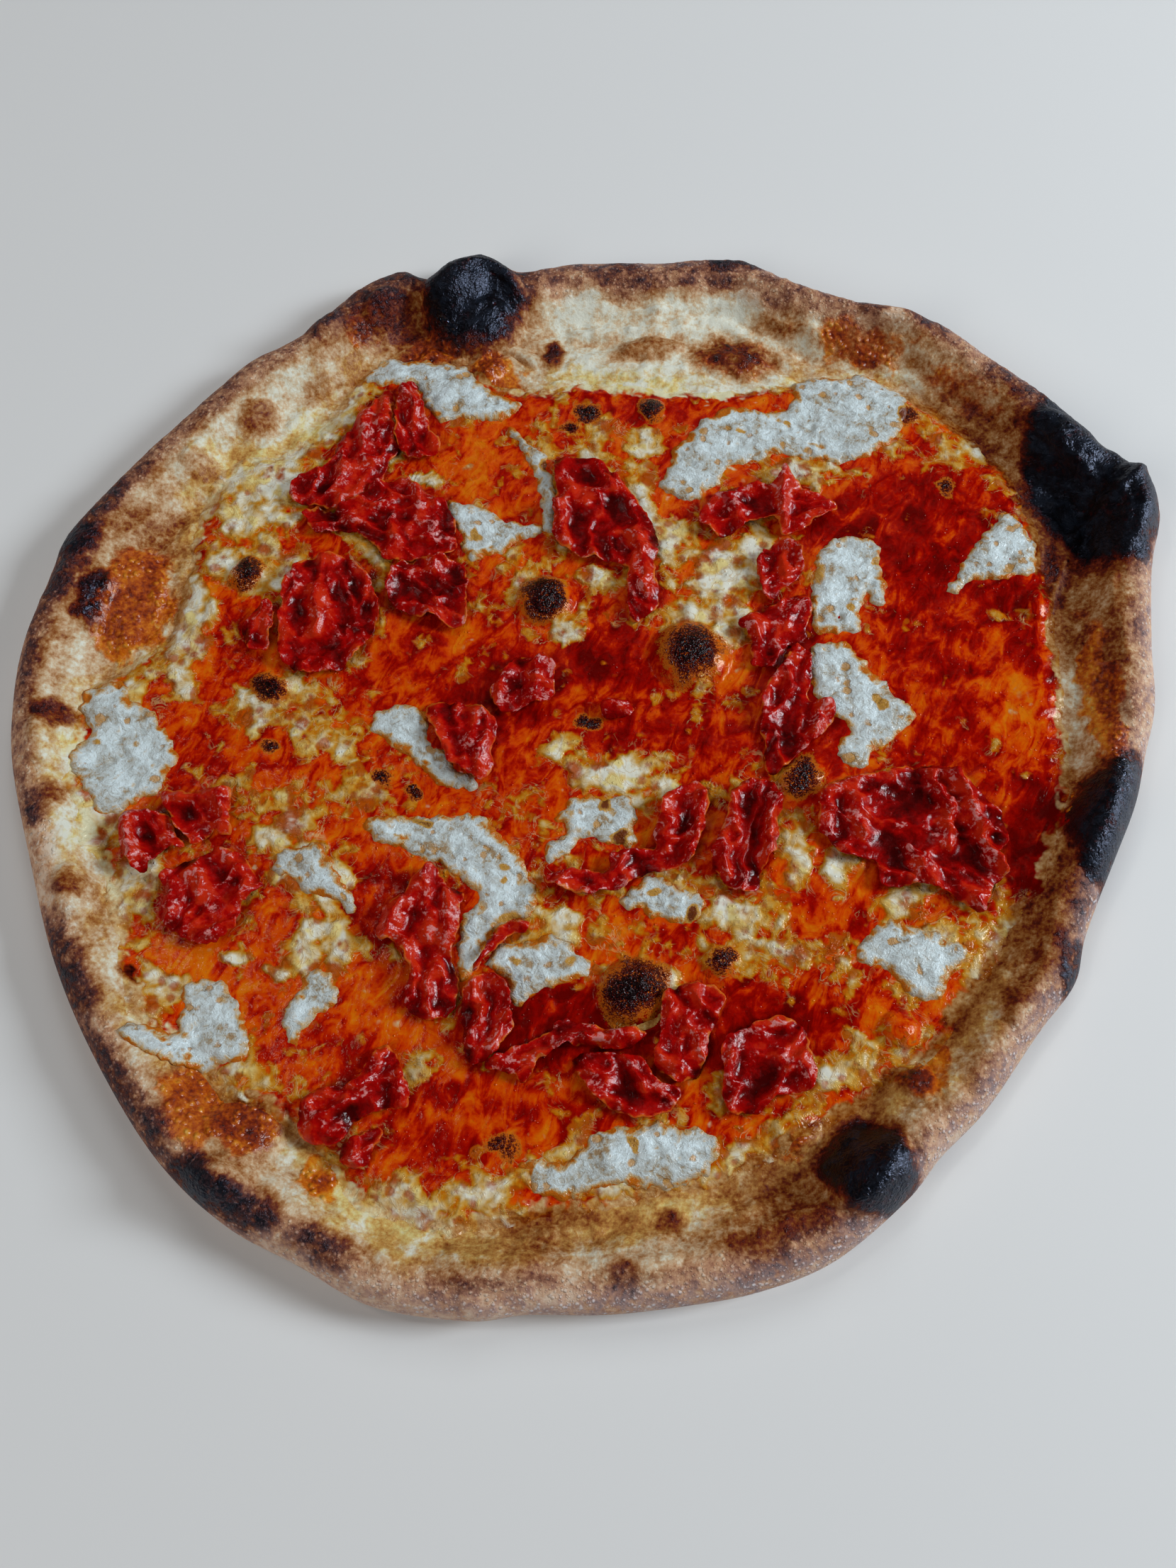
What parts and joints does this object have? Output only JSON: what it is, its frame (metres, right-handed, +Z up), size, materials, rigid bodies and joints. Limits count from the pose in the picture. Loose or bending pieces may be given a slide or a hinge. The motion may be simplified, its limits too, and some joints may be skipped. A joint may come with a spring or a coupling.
{
  "type": "soppressata pizza",
  "caption": "Whole round baked pizza with a raised, blistered rim, tomato sauce, melted cheese, fresh mozzarella and curled slices of soppressata.",
  "frame": {"origin": "middle of the box round the pizza, on the surface it lies on", "axes": "+X to the right and +Y away from the viewer, along the surface; +Z up"},
  "size_m": [0.359, 0.3469, 0.0217],
  "materials": {
    "crust": "baked dough, dry and blistered, pale to charred",
    "sauce_and_melted_cheese": "moist tomato sauce and melted cheese with oil on top",
    "mozzarella": "moist melted fresh cheese, white",
    "soppressata": "oily cured sausage, dark red with pale fat"
  },
  "bodies": {
    "root": {"crust": "crust", "mozzarella_01": "mozzarella", "mozzarella_02": "mozzarella", "mozzarella_03": "mozzarella", "mozzarella_04": "mozzarella", "mozzarella_05": "mozzarella", "mozzarella_06": "mozzarella", "mozzarella_07": "mozzarella", "mozzarella_08": "mozzarella", "mozzarella_09": "mozzarella", "mozzarella_10": "mozzarella", "mozzarella_11": "mozzarella", "mozzarella_12": "mozzarella", "mozzarella_13": "mozzarella", "mozzarella_14": "mozzarella", "mozzarella_15": "mozzarella", "mozzarella_16": "mozzarella", "mozzarella_17": "mozzarella", "mozzarella_18": "mozzarella", "sauce_and_melted_cheese": "sauce_and_melted_cheese", "soppressata_01": "soppressata", "soppressata_02": "soppressata", "soppressata_03": "soppressata", "soppressata_04": "soppressata", "soppressata_05": "soppressata", "soppressata_06": "soppressata", "soppressata_07": "soppressata", "soppressata_08": "soppressata", "soppressata_09": "soppressata", "soppressata_10": "soppressata", "soppressata_11": "soppressata", "soppressata_12": "soppressata", "soppressata_13": "soppressata", "soppressata_14": "soppressata", "soppressata_15": "soppressata", "soppressata_16": "soppressata", "soppressata_17": "soppressata", "soppressata_18": "soppressata", "soppressata_19": "soppressata", "soppressata_20": "soppressata", "soppressata_21": "soppressata", "soppressata_22": "soppressata", "soppressata_23": "soppressata", "soppressata_24": "soppressata", "soppressata_25": "soppressata", "soppressata_26": "soppressata", "soppressata_27": "soppressata", "soppressata_28": "soppressata", "soppressata_29": "soppressata"}
  },
  "joints": []
}
